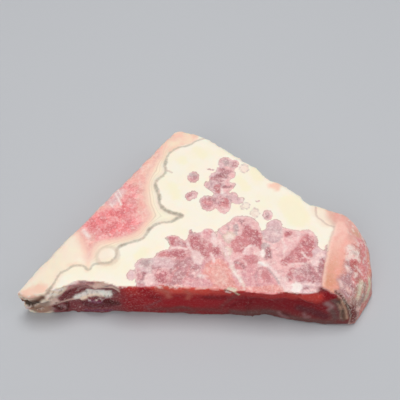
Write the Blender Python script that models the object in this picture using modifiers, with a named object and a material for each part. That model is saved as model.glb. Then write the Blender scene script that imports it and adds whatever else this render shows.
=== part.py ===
"""A slice of rhodochrosite: a rough three-cornered slab sawn from a banded vein.

The top and the foot are flat saw cuts, and so is the long left side. The right side is
broken, the front is cleaved and chipped, and the right end is a rounded, lumpy rind.
It is one natural stone, so it is one solid.

Metres, +Z up. +X is the long way and the front faces -Y. The origin is at the middle of
the slab's box, on the surface that it rests on.
"""

import math

import bmesh
import bpy
from mathutils import Vector, noise

MM = 0.001
NAME = "rhodochrosite_slice"

# Driving sizes, in millimetres
THICKNESS = 13.5
TRIANGLES = 8400
VOXEL = 0.6
FLAT_WITHIN = 0.04
LOFT_LEVELS = 18

# The outline, going round from the pointed left tip along the front, up the right end and
# back down the two rear sides. Each station is the rim of the top face (x, y), the foot
# below it (x, y) and how far the wall between them stands out beyond a straight line.
FRONT = (
    (-49.3, -27.9, -49.6, -26.1, 0.9),
    (-47.2, -29.3, -48.8, -27.2, 1.0),
    (-44.8, -29.7, -46.6, -27.8, 0.9),
    (-42.6, -29.8, -43.8, -27.9, 0.7),
    (-41.0, -29.2, -41.5, -27.6, 0.6),
    (-39.3, -28.6, -39.6, -27.5, 0.8),
    (-37.4, -28.3, -37.4, -27.6, 0.7),
    (-35.6, -27.1, -35.6, -27.6, 0.4),
    (-33.4, -26.1, -33.4, -27.6, 0.2),
    (-30.8, -25.8, -30.8, -27.6, 0.2),
    (-28.0, -26.0, -28.0, -27.6, 0.2),
    (-25.4, -26.5, -25.4, -27.6, 0.4),
    (-22.9, -27.5, -22.5, -27.5, 0.5),
    (-16.5, -27.7, -15.5, -27.7, 0.2),
    (-9.6, -27.8, -8.0, -28.0, 0.1),
    (-3.5, -28.1, -1.5, -28.3, 0.1),
    (3.0, -28.6, 4.5, -28.2, 0.0),
    (8.5, -29.5, 9.5, -28.6, -0.2),
    (14.7, -30.2, 14.5, -29.1, 0.0),
    (18.9, -30.5, 18.5, -28.4, 0.0),
    (22.6, -30.1, 22.5, -29.7, 0.0),
    (27.0, -30.0, 27.5, -30.7, 0.0),
    (30.2, -29.7, 33.5, -31.3, 0.3),
)
RIGHT_END = (
    (31.9, -28.4, 42.5, -31.6, 3.9),
    (32.3, -26.0, 44.8, -29.4, 4.6),
    (33.2, -22.8, 47.4, -25.4, 5.4),
    (34.3, -18.6, 48.9, -21.0, 6.0),
    (35.6, -14.8, 49.6, -15.5, 6.2),
    (36.9, -11.5, 49.8, -10.2, 5.6),
    (38.2, -7.6, 48.6, -6.0, 4.8),
    (39.3, -4.6, 46.3, -2.4, 3.9),
)
BROKEN_SIDE = (
    (39.8, -3.0, 42.4, -0.8, 1.9),
    (35.9, -0.6, 37.5, 1.2, 0.4),
    (31.9, 1.4, 33.0, 3.0, 0.0),
    (29.8, 4.5, 30.5, 5.4, 0.0),
    (26.0, 8.1, 27.0, 9.0, 0.3),
    (21.1, 11.3, 22.0, 12.5, 0.0),
    (17.6, 15.9, 18.2, 16.6, 0.0),
    (13.6, 18.6, 14.2, 19.3, 0.2),
    (8.5, 23.4, 9.0, 24.0, 0.0),
    (4.4, 27.3, 4.8, 27.6, 0.0),
    (0.4, 29.8, 0.8, 30.1, 0.0),
    (-3.4, 31.6, -3.2, 31.7, 0.0),
)
SAWN_SIDE = (
    (-6.2, 32.3, -6.2, 32.3, 0.0),
    (-8.3, 31.3, -8.3, 31.3, 0.0),
    (-26.0, 6.2, -26.1, 6.3, 0.0),
    (-39.0, -13.4, -39.1, -13.3, 0.0),
    (-46.8, -24.6, -46.9, -23.9, 0.0),
)
STATIONS = FRONT + RIGHT_END + BROKEN_SIDE + SAWN_SIDE

# The top face droops towards the tip: where that starts, and how much of the height is lost
DROOP_START, DROOP_END, DROOP_SHARE = -36.0, -50.0, 0.2

# The ledge broken out of the front near the tip: where it lies along x, with how fast it
# fades at each end, and the heights of its lip and of its back
LEDGE_START, LEDGE_END, LEDGE_FADE = -39.0, -23.5, 3.0
LEDGE_LIP, LEDGE_BACK = 6.4, 8.6
REAR_SIDES_FROM = -20.0  # at these x, a station with a higher y is on the sawn side

# The crease across the front: where it meets the rim and the foot along x, and how far the
# cleavage face on its right lies behind the one on its left
CREASE_RIM, CREASE_FOOT, CREASE_DEPTH, CREASE_REACH = 11.2, 6.0, 0.5, 14.0

# Roughness of each wall, in millimetres: cell size of the facets and how far they stand out
CLEAVED = dict(cell=15.0, tilt=0.07, step=0.3)
HACKLY = dict(cell=4.4, tilt=0.36, step=0.5)
BROKEN = dict(cell=5.0, tilt=0.26, step=0.4)
MOST_STAND_OUT = 0.35
FOOT_QUIET = 0.6  # the share of the front's roughness that is lost at the foot
LUMP_SIZE, LUMP_HEIGHT = 4.2, 0.55
RIB_SIZE, RIB_HEIGHT = 2.2, 0.22
CHIP_SIZE, CHIP_DEPTH = 3.6, 0.8

# The groove under the nose at the tip: its height, half its width and its depth
GROOVE_HEIGHT, GROOVE_WIDTH, GROOVE_DEPTH = 7.1, 1.3, 1.0

STONE_COLOUR = (0.80, 0.42, 0.40, 1.0)
STONE_ROUGHNESS = 0.6


def clear_scene():
    for obj in list(bpy.data.objects):
        bpy.data.objects.remove(obj, do_unlink=True)


def smooth(start, end, value):
    """0 before start, 1 after end, and an eased step between them. It takes them either way round."""
    share = min(max((value - start) / (end - start), 0.0), 1.0)
    return share * share * (3.0 - 2.0 * share)


def hump(level):
    """How far a bulging wall stands out at this share of the height, up to 1: the gap
    between a quarter of a circle and its chord."""
    return (math.sqrt(1.0 - level * level) - (1.0 - level)) / 0.414


def share_of_rim(level, x, y):
    """How far the wall has come from its foot to its rim at this level. It goes straight,
    except at the ledge, where it stands upright below the lip and above the back."""
    ledge = smooth(LEDGE_START, LEDGE_START + LEDGE_FADE, x) * smooth(LEDGE_END, LEDGE_END - LEDGE_FADE, x)
    if y > REAR_SIDES_FROM:
        ledge = 0.0
    return level + ledge * (smooth(LEDGE_LIP, LEDGE_BACK, level * THICKNESS) - level)


def ring(level):
    """The outline at this share of the height, 0 at the foot and 1 at the rim."""
    points = []
    for index, (rim_x, rim_y, foot_x, foot_y, swell) in enumerate(STATIONS):
        before = Vector(STATIONS[index - 1][:2])
        after = Vector(STATIONS[(index + 1) % len(STATIONS)][:2])
        along = (after - before).normalized()
        rim, foot = Vector((rim_x, rim_y)), Vector((foot_x, foot_y))
        outward = (2.0 * Vector((along.y, -along.x)) + foot - rim).normalized()
        place = foot.lerp(rim, share_of_rim(level, rim_x, rim_y)) + outward * swell * hump(level)
        points.append(Vector((place.x, place.y, THICKNESS * level)))
    return points


def lofted_slab():
    """The slab before its walls are roughened, lofted through the rings."""
    mesh = bmesh.new()
    loops = []
    for step in range(LOFT_LEVELS + 1):
        verts = [mesh.verts.new(point) for point in ring(step / LOFT_LEVELS)]
        loops.append([mesh.edges.new(pair) for pair in zip(verts, verts[1:] + verts[:1])])
    for lower, upper in zip(loops, loops[1:]):
        bmesh.ops.bridge_loops(mesh, edges=lower + upper)
    for loop in (loops[0], loops[-1]):
        bmesh.ops.triangle_fill(mesh, edges=loop, use_beauty=True)
    bmesh.ops.recalc_face_normals(mesh, faces=mesh.faces)
    data = bpy.data.meshes.new(NAME)
    mesh.to_mesh(data)
    mesh.free()
    slab = bpy.data.objects.new(NAME, data)
    return slab


def apply_modifiers(obj):
    """Bakes the object's modifiers into its mesh."""
    graph = bpy.context.evaluated_depsgraph_get()
    shaped = bpy.data.meshes.new_from_object(obj.evaluated_get(graph))
    obj.modifiers.clear()
    obj.data = shaped


def remesh(obj, voxel):
    modifier = obj.modifiers.new("even_mesh", "REMESH")
    modifier.mode = "VOXEL"
    modifier.voxel_size = voxel
    apply_modifiers(obj)


def facets(point, cell, tilt, step):
    """How far the broken surface stands out here. Each cell has a tilted plane of its own,
    and the lowest of the planes nearby wins, so the facets meet along ridges. Between the
    deep ones, the wall keeps to one flat cleavage face."""
    place = point / cell
    _, centres = noise.voronoi(place, distance_metric="DISTANCE", exponent=2.5)
    planes = []
    for centre in centres:
        lean = noise.cell_vector(centre * 17.3) - Vector((0.5, 0.5, 0.5))
        height = noise.cell(centre * 31.7) - 0.5
        planes.append(2.0 * cell * tilt * lean.dot(place - centre) + step * height)
    return min(min(planes) + step, MOST_STAND_OUT)


def lumps(point):
    """The rounded knobs of the rind, and the upright ribs low on it."""
    stretched = Vector((point.x, point.y, point.z * 0.6)) / LUMP_SIZE
    knobs = LUMP_HEIGHT * noise.noise(stretched) + 0.4 * LUMP_HEIGHT * noise.noise(stretched * 2.3)
    around = Vector((point.x * 0.3, point.y, point.z * 0.12)) / RIB_SIZE
    return knobs + RIB_HEIGHT * (1.0 - 2.0 * abs(noise.noise(around)))


def wall_relief(point, outward, rind):
    """How far the wall moves out here, by which way it faces."""
    front = smooth(0.3, 0.7, -outward.y) * (1.0 - rind)
    hackly = front * smooth(-18.0, -25.0, point.x)
    groove = smooth(-38.0, -42.0, point.x) * math.exp(-((point.z - GROOVE_HEIGHT) / GROOVE_WIDTH) ** 2)
    sawn = smooth(0.35, 0.75, -outward.x * 0.82 + outward.y * 0.57)
    broken = max(0.0, 1.0 - front - sawn - rind)
    relief = -GROOVE_DEPTH * groove * (1.0 - sawn)
    if hackly > 0.0:
        relief += hackly * facets(point, **HACKLY)
    if front > hackly:
        beyond = point.x - CREASE_FOOT - (CREASE_RIM - CREASE_FOOT) * point.z / THICKNESS
        crease = -CREASE_DEPTH * smooth(0.0, 1.2, beyond) * smooth(CREASE_REACH, 3.0, beyond)
        relief += (front - hackly) * (facets(point, **CLEAVED) + crease)
    relief *= 1.0 - front * FOOT_QUIET * smooth(4.0, 0.5, point.z)
    if broken > 0.0:
        relief += broken * facets(point, **BROKEN)
    return relief


def roughen(slab):
    """Moves each point of the walls in or out, and knocks small chips off the rims."""
    moved = []
    for vertex in slab.data.vertices:
        point, normal = vertex.co.copy(), vertex.normal.copy()
        flat = abs(normal.z)
        outward = Vector((normal.x, normal.y, 0.0))
        if outward.length < 0.05:
            moved.append(point)
            continue
        outward.normalize()
        rind = smooth(33.0, 37.5, point.x) * smooth(-0.2, 0.35, outward.x)
        wall = smooth(0.9, 0.6, flat) * wall_relief(point, outward, rind)
        knobs = rind * smooth(0.99, 0.9, flat) * lumps(point)
        edge = smooth(0.35, 0.7, flat) * smooth(0.98, 0.8, flat) * (1.0 - rind)
        chip = smooth(0.05, 0.5, noise.noise(point / CHIP_SIZE)) * CHIP_DEPTH
        moved.append(point + outward * wall + normal * (knobs - edge * chip))
    for vertex, point in zip(slab.data.vertices, moved):
        vertex.co = point


def trim_to_saw_cuts(slab):
    """Makes the foot and the top face truly flat, lets the top droop at the tip, and
    centres the slab on its box."""
    for vertex in slab.data.vertices:
        height = min(max(vertex.co.z, 0.0), THICKNESS)
        if height < FLAT_WITHIN:
            height = 0.0
        if height > THICKNESS - FLAT_WITHIN:
            height = THICKNESS
        vertex.co.z = height * (1.0 - DROOP_SHARE * smooth(DROOP_START, DROOP_END, vertex.co.x))
    xs, ys = zip(*((vertex.co.x, vertex.co.y) for vertex in slab.data.vertices))
    middle = Vector(((min(xs) + max(xs)) / 2.0, (min(ys) + max(ys)) / 2.0, 0.0))
    for vertex in slab.data.vertices:
        vertex.co = (vertex.co - middle) * MM


def simplify(slab):
    """Fewer triangles: the flat faces need hardly any, so the walls keep theirs."""
    modifier = slab.modifiers.new("fewer_triangles", "DECIMATE")
    modifier.ratio = TRIANGLES / (2.0 * len(slab.data.polygons))
    modifier.use_collapse_triangulate = True
    apply_modifiers(slab)


def stone():
    material = bpy.data.materials.new("rhodochrosite")
    material.use_nodes = True
    shader = material.node_tree.nodes["Principled BSDF"]
    shader.inputs["Base Color"].default_value = STONE_COLOUR
    shader.inputs["Roughness"].default_value = STONE_ROUGHNESS
    shader.inputs["Metallic"].default_value = 0.0
    return material


def main():
    clear_scene()
    collection = bpy.data.collections.new(NAME)
    bpy.context.scene.collection.children.link(collection)
    slab = lofted_slab()
    collection.objects.link(slab)
    remesh(slab, VOXEL)
    roughen(slab)
    trim_to_saw_cuts(slab)
    simplify(slab)
    slab.data.materials.clear()
    slab.data.materials.append(stone())


main()
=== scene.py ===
"""The looks of the rhodochrosite slice: banded cream and rose stone, sawn on top, under the
foot and along one side, broken along the other, cleaved in front and with a rind at one end.

The pattern is laid out by pixels of the photograph, read off it. Each is taken along the
camera's ray to the point of the solid that it shows, so every mark sits on the stone.
"""

import math

import bpy
import numpy as np
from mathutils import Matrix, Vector, noise
from mathutils.bvhtree import BVHTree


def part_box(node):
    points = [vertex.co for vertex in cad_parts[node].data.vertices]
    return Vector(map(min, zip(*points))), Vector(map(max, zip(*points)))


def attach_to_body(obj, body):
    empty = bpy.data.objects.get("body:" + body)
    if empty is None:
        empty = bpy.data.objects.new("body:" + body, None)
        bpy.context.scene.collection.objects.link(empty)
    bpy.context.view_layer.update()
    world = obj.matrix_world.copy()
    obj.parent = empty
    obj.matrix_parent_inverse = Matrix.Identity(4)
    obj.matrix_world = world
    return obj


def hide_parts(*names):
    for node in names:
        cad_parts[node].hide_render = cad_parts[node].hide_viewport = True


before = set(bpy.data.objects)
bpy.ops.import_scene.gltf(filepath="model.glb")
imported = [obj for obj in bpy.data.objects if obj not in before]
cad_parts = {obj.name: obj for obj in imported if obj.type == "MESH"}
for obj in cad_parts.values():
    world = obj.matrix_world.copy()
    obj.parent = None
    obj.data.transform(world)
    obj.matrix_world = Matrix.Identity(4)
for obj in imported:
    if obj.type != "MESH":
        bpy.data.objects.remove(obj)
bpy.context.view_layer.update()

NODE, BODY, SLOT = "rhodochrosite_slice", "root", "rhodochrosite"
MM = 0.001
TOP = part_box(NODE)[1].z / MM

# The photograph's camera
PHOTO_SIDE = 400
FOCAL_LENGTH = 640  # in the photograph's pixels
ELEVATION = math.radians(50)
DISTANCE = 0.207
AIM = Vector((-0.0003, 0.0135, 0.0))
SENSOR = 36.0

# Each lamp's azimuth and elevation in degrees, distance and size in metres, and watts.
# Azimuth 0 is behind the slab, and 180 is at the camera
LAMPS = {
    "key": (0, 80, 0.7, 0.32, 2.65),
    "front": (205, 35, 0.9, 0.6, 2.0),
    "fill": (110, 45, 0.9, 0.6, 1.0),
}
SKY_COLOUR, SKY_STRENGTH = (0.95, 0.97, 1.0, 1), 0.3
FLOOR_COLOUR, FLOOR_REACH = (0.52, 0.53, 0.55, 1), 4.0

# The slab's mesh, in millimetres
VOXEL = 0.38
SMOOTHING = 2
TIP_ROUNDING, TIP_REGAIN = 12, 0.14
FRONT_ROUNDING, FRONT_REGAIN = 12, 0.08
SAWN_CORNER, SAWN_OUTWARD = (-46.6, -24.7), (-0.825, 0.565)
# How far the sawn side moves out, by x, to follow its outline in the photograph
SAWN_SHIFT = (
    (-49.6, 0.1), (-48.7, 0.2), (-47.4, 0.5), (-45.9, 0.75), (-44.8, 0.8), (-43.8, 0.65),
    (-42.5, 0.45), (-41, 0.45), (-38.5, 0.3), (-37, -0.05), (-35, -0.3), (-31.5, -0.3), (-29, 0.0),
    (-25, -0.2), (-20.5, -0.15), (-17.5, 0.15), (-14, 0.4), (-9, 0.4),
)
LIP_DRAWN_IN = 0.6  # how far the lip under the nose lies further in
CRACK_WIDTH, CRACK_DEPTH = 0.45, 0.5
NOTCH, NOTCH_WIDTH, NOTCH_DEPTH = (364.5, 309.5), 2.4, 1.8  # near the foot of the rind end
GRAIN = ((1.3, 0.10), (0.55, 0.05))  # size and height of the roughness on the broken walls
RIND_GRAIN = ((2.2, 0.10), (0.7, 0.07))

# Colours, as red, green and blue out of 255 on a screen
TONES = {
    # Pale stone
    "cream": (252, 240, 223),
    "pale yellow": (251, 239, 210),
    "peach cream": (250, 229, 209),
    "tip cream": (252, 234, 212),
    "tip peach": (249, 206, 184),
    "halo": (247, 200, 182),
    "beige": (214, 190, 166),
    "thin line": (206, 178, 164),
    "grey": (172, 158, 140),
    # Rose stone
    "white": (252, 238, 230),
    "pale pink": (244, 213, 208),
    "light pink": (238, 190, 187),
    "mauve pink": (216, 158, 160),
    "pink": (230, 168, 170),
    "salmon": (236, 164, 154),
    "peach salmon": (238, 178, 166),
    "rose": (216, 144, 146),
    "clear rose": (212, 136, 138),
    "deep rose": (206, 126, 130),
    "wine": (198, 116, 122),
    "mauve": (204, 145, 148),
    "dark mauve": (186, 126, 130),
    "lilac": (226, 190, 190),
    "grey lilac": (200, 172, 170),
    "ring": (240, 216, 204),
    "coral": (243, 160, 158),
    "deep coral": (237, 131, 133),
    "pale coral": (243, 182, 170),
    # The end
    "band peach": (250, 200, 186),
    # band edge is a painted highlight on the peach band's ridge
    "band edge": (253, 222, 206),
    "band pink": (243, 172, 158),
    "band front": (226, 160, 132),
    "band tan": (226, 172, 146),
    "rind": (215, 145, 137),
    "rind rose": (234, 150, 148),
    "rind deep": (194, 106, 102),
    "rind salmon": (240, 160, 142),
    "rind lilac": (195, 147, 148),
    "rind pale": (246, 208, 198),
    "rind white": (252, 228, 218),
    "rind grey": (176, 140, 130),
    "rind brown": (126, 66, 62),
    "olive": (220, 206, 178),
    "olive shade": (168, 142, 128),
    # The front, which stands in shade
    # orange red is painted light: the glow under the front's rim where light comes through
    "orange red": (252, 96, 80),
    "brick": (226, 112, 96),
    "crimson": (192, 28, 40),
    "deep crimson": (154, 14, 30),
    "dusky": (148, 66, 66),
    "slate": (132, 90, 86),
    "maroon": (158, 78, 82),
    "dark maroon": (124, 44, 52),
    "blackish": (104, 28, 30),
    "purple": (142, 74, 100),
    "mauve grey": (186, 142, 142),
    "step mauve": (210, 150, 146),
    "step tan": (232, 200, 184),
    "step dusk": (178, 130, 126),
    "streak white": (255, 246, 236),
    "streak grey": (255, 232, 206),
    "lip": (172, 136, 116),
    "lip lilac": (226, 204, 208),
    "groove": (80, 58, 48),
    "brown": (140, 96, 76),
    "tan": (196, 156, 132),
    "ashen": (196, 168, 160),
}
# Painted shade: the front's tones are darker by this, against the lamp that stands before it
FRONT_SHADE = 0.72
FRONT_TONES = (
    "orange red", "brick", "crimson", "deep crimson", "dusky", "slate", "maroon", "dark maroon",
    "blackish", "purple", "mauve grey", "brown",
)
# How strongly the grain shows in a tone, where it isn't GRAIN_SHARE
GRAIN_SHARE = 0.5
GRAINY_TONES = {
    "mauve": 0.75, "dark mauve": 0.8, "deep rose": 0.8, "wine": 0.7, "lilac": 0.6,
    "clear rose": 0.3,
    "pale pink": 0.45, "white": 0.2, "peach salmon": 0.35, "coral": 0.75, "deep coral": 0.75,
}

# The grey line that parts the pink side from the white one, from the back edge to the tip
GREY_LINE = (
    (207, 136), (203, 138.5), (196, 141), (188, 145.5), (179, 147.5), (172, 151), (167.5, 156),
    (166, 161), (165, 166), (166, 171), (163, 175.5), (158, 179), (155.3, 184), (156.6, 189),
    (159, 195), (159.5, 202), (163, 208.5), (170, 212), (182, 215.5), (177, 218.5), (170, 222),
    (162, 222.8), (155, 225), (149.5, 229), (146, 235), (141, 239.5), (134, 241.6), (127, 243.5),
    (121, 246), (116.5, 250), (116, 256), (110, 262.5), (102, 263), (94, 264.5), (91, 267.5),
    (88, 270), (84, 266.5), (77, 265), (71, 267), (66, 270.6), (60, 273), (56.7, 277),
    (54.4, 281), (51, 286), (46.5, 290), (43, 293.6), (38, 298), (24, 301),
)
# Where that line is thick and dark: pixel and radius in millimetres
LINE_THICK = (
    ((158, 188), 2.4), ((160.5, 197), 2.2), ((164, 207), 1.8), ((169, 211.5), 2.4),
    ((177, 214.4), 3.2), ((182, 215.5), 2.2), ((166, 163), 1.2),
    ((47, 290), 2.0), ((149, 229), 1.6), ((122, 245), 1.6),
)
SMALL_LINES = (
    ((167, 170.6), (170, 171.6), (172, 172.6)),
    ((316, 206), (315.8, 211), (317, 216.5), (321.5, 220), (327, 224.5), (335, 227)),
)
RING_CENTRE, RING_RADIUS = (107.5, 255.5), 3.0

ROSE_PATCH = (
    (160, 151), (156.6, 160), (150.6, 170), (146.5, 181), (145, 192), (146, 203),
    (149.5, 216), (144, 224), (138.5, 231), (131, 235.5), (122, 238), (108, 240.5), (98, 243),
    (92.5, 249), (89, 258), (86.5, 250), (83, 242), (78, 233), (66, 224), (60, 200), (150, 100),
)

# The clusters of rose crystals in the white field
LEFT_CLUSTER = (
    (134.7, 266), (137, 261), (142, 258.6), (148, 258.4), (154, 257), (157, 252.8), (164.6, 250),
    (168.6, 249), (169, 244), (166.6, 240), (164.4, 237.5), (168.5, 236), (173.6, 235),
    (178.7, 236.7), (183, 240), (186, 239.5), (188.6, 236), (189, 231), (191.4, 229.6),
    (194, 232.5), (201, 232), (203.5, 229), (209, 228.4), (213, 230), (216.5, 234),
    (217.5, 240), (222, 248),
    (228, 262), (236, 276), (240, 300), (150, 320), (136, 284), (135.4, 276),
)
RIGHT_CLUSTER = (
    (217, 240), (216.5, 233), (219, 228.5), (224, 225), (229, 222), (233, 217.6), (238, 216),
    (246, 216), (252, 217.4), (257, 221), (259.6, 226), (261.5, 230.5), (265, 229), (266.5, 224),
    (270, 220.6), (276, 219.2), (281, 221.6), (283, 227), (287, 228), (293, 229.6), (299, 230.6),
    (305, 229.6), (311, 230.5), (315, 234), (318, 240), (318.4, 246), (321, 249), (326, 250.6),
    (340, 256), (340, 300), (230, 300), (226, 270), (219, 250),
)
# The cluster near the back edge
BACK_CLUSTER = (
    (218.3, 163.3), (219.4, 159.4), (224.4, 157.2), (228.9, 157.8), (232.2, 160.2),
    (236.7, 159.8), (238.9, 162.8), (238, 166.7), (234.4, 169.4), (235.6, 173.9),
    (234.2, 177.8), (230.6, 179.4), (230, 182.2), (235.6, 183.3), (233.3, 188.3), (230, 191.1),
    (229, 193.4), (233.3, 191.7), (237.2, 193.9), (238.6, 197.2), (242.8, 197.2), (244.4, 200),
    (242.2, 202.8), (237.8, 204.4), (231.6, 203.3), (230.6, 207.8), (227.8, 212.2),
    (223.9, 213.9), (218.9, 211.7), (215.6, 208.4), (212.2, 210.6), (206.7, 211.1),
    (201.7, 207.8), (199.4, 201.1), (201.7, 197.2), (206.7, 195.4), (212.2, 196.4),
    (213.3, 193.9), (210.6, 190.6), (206.7, 188.3), (203.9, 185), (205.6, 181.7),
    (209.1, 181.1), (209.1, 176.7), (211.7, 173.3), (215.6, 171.7), (216.7, 168.3),
    (218.9, 166.4),
)
# Rounded crystals in the clusters, and lone ones in the cream: centre and radius in pixels
ROUNDS = (
    ((224.3, 163.5), 6.0), ((234.5, 164), 4.6), ((219.7, 171.6), 5.0), ((213.6, 177.8), 4.6),
    ((221.5, 177.5), 5.2), ((231.5, 175), 4.0), ((207.6, 185), 3.6), ((216, 186), 5.0),
    ((226, 187), 5.0), ((206.9, 203), 7.4), ((225, 203), 6.4), ((233.5, 197.3), 4.4),
)
LONE_CRYSTALS = (
    ((193.4, 177), 6.0), ((189.2, 196.6), 4.2), ((193.6, 194.6), 4.2), ((267.6, 215.2), 5.0),
    ((131.5, 275), 4.4),
)
FAINT_CRYSTALS = (
    ((244.2, 168.6), 4.6), ((246, 205.6), 3.4), ((254.8, 212.8), 4.4), ((242.8, 206.5), 2.4),
)
DASHES = (
    ((208, 169.2), (213.5, 169.8)), ((255.8, 201), (259, 201.2)), ((325.6, 251), (326.6, 245.4)),
)

# Strokes of colour: tone, radius in millimetres, and the pixels that the stroke runs through
MATRIX_STROKES = (
    ("peach cream", 6.0, ((60, 250), (40, 272), (28, 288))),
    ("tip cream", 3.0, ((44, 276), (34, 284))),
    ("tip peach", 2.6, ((22, 293), (29, 290), (36, 288))),
    ("tip peach", 3.2, ((166, 146), (175, 140), (188, 136))),
    ("halo", 1.6, ((176, 138.6), (183, 137.6))),
    ("halo", 1.2, ((161, 152), (165, 147))),
    ("halo", 0.8, ((83, 241), (87, 248))),
    ("pale yellow", 1.8, ((182, 160),)),
    ("pale yellow", 1.6, ((203, 155), (197, 150))),
    ("pale yellow", 3.6, ((298, 217), (293, 210), (291, 204))),
    ("pale yellow", 1.8, ((255, 172), (258, 177))),
    ("pale yellow", 1.6, ((240, 180), (246, 188))),
    ("pale yellow", 1.5, ((176, 196), (172, 186))),
    ("pale yellow", 1.4, ((145, 251), (139, 256))),
    ("tip peach", 0.9, ((271, 185.6), (277, 185), (282, 181))),
    ("tip peach", 0.8, ((277, 181), (277, 189))),
    ("tip peach", 0.5, ((88, 263), (87.6, 270))),
    ("tip peach", 0.4, ((68, 266), (76, 263.6), (84, 265))),
    ("peach cream", 1.8, ((101, 263), (112, 263))),
    ("peach cream", 3.0, ((321, 211), (328, 219))),
    ("tip peach", 1.4, ((332, 208), (334, 217))),
)
ROSE_STROKES = (
    ("coral", 3.8, ((96, 226), (110, 217), (126, 213), (132, 202))),
    ("pale coral", 2.0, ((140, 184), (143, 200), (144, 214))),
    ("pale coral", 2.0, ((138, 222), (124, 234), (104, 239))),
    ("coral", 2.8, ((134, 224), (120, 231), (100, 234))),
    ("deep coral", 1.8, ((94, 224), (104, 218), (112, 215), (121, 213))),
    ("deep coral", 1.2, ((104, 229), (112, 226), (124, 223))),
    ("deep coral", 0.9, ((126, 209), (124, 204))),
    ("deep coral", 1.0, ((108, 232), (122, 229), (132, 222))),
    # The light pink and lilac streak below is a painted glint along the cleavage
    ("light pink", 1.7, ((111, 202), (117, 195), (122, 190))),
    ("lilac", 0.7, ((112, 203), (117, 198), (119, 193))),
    ("coral", 1.3, ((126, 186), (134, 190), (131, 199))),
    ("halo", 2.4, ((160, 152), (154, 162), (149, 172))),
    ("pale coral", 1.4, ((90, 238), (90, 246))),
    ("white", 0.5, ((84, 230), (88, 236))),
)
# Painted glints in the rose patch: bright streaks along the cleavage
GLINTS = (
    ("white", 0.28, ((115.6, 193.6), (118.4, 199), (121, 204.6))),
    ("white", 0.2, ((118, 190), (121.6, 196))),
    ("white", 0.2, ((110, 204), (113, 207))),
)
TOP_STROKES = (
    # The cluster near the back edge
    ("lilac", 2.6, ((226, 164), (220, 172), (216, 184), (212, 196), (226, 200))),
    ("grey lilac", 1.0, ((226, 162), (229, 166))),
    ("mauve", 0.9, ((222, 170), (228, 172))),
    ("dark mauve", 0.9, ((216, 177), (221, 175), (224, 176))),
    ("mauve", 1.0, ((213, 179), (221, 182))),
    ("light pink", 0.7, ((227, 168), (232, 169))),
    ("mauve", 0.8, ((235, 163), (235, 166))),
    ("deep rose", 0.9, ((217, 186), (218.6, 191))),
    ("dark mauve", 0.6, ((224, 187), (230, 187))),
    ("white", 0.3, ((221.6, 189), (222, 193))),
    ("lilac", 1.0, ((208, 185), (213, 182))),
    ("mauve", 1.7, ((206, 203), (211, 201))),
    ("rose", 0.8, ((205, 202), (210, 203))),
    ("rose", 1.4, ((224, 201), (224, 207))),
    ("deep rose", 0.6, ((222, 201), (226, 203))),
    ("light pink", 1.2, ((222, 210), (226, 210))),
    ("lilac", 1.3, ((232, 197), (238, 202), (243, 199))),
    ("mauve", 0.7, ((222, 198), (219, 203))),
    ("ring", 1.6, ((244, 169), (247, 206), (255, 213))),
    ("pale pink", 1.0, ((268, 212), (266, 218))),
    ("dark mauve", 0.55, ((267, 213), (268, 216), (266, 218))),
    ("lilac", 1.2, ((131, 274), (133, 277))),
    ("mauve", 0.9, ((191, 176), (195, 178), (190, 196))),
    ("grey lilac", 0.7, ((190, 174), (196, 175))),
    ("pale pink", 0.4, ((190, 198), (194, 196))),
)
# How far a crystal's outline is jagged and grown, in millimetres, and how strong its edge is
CRYSTAL_JAG, CRYSTAL_GROWTH, CRYSTAL_EDGE = 0.4, 0.2, 0.55
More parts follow.
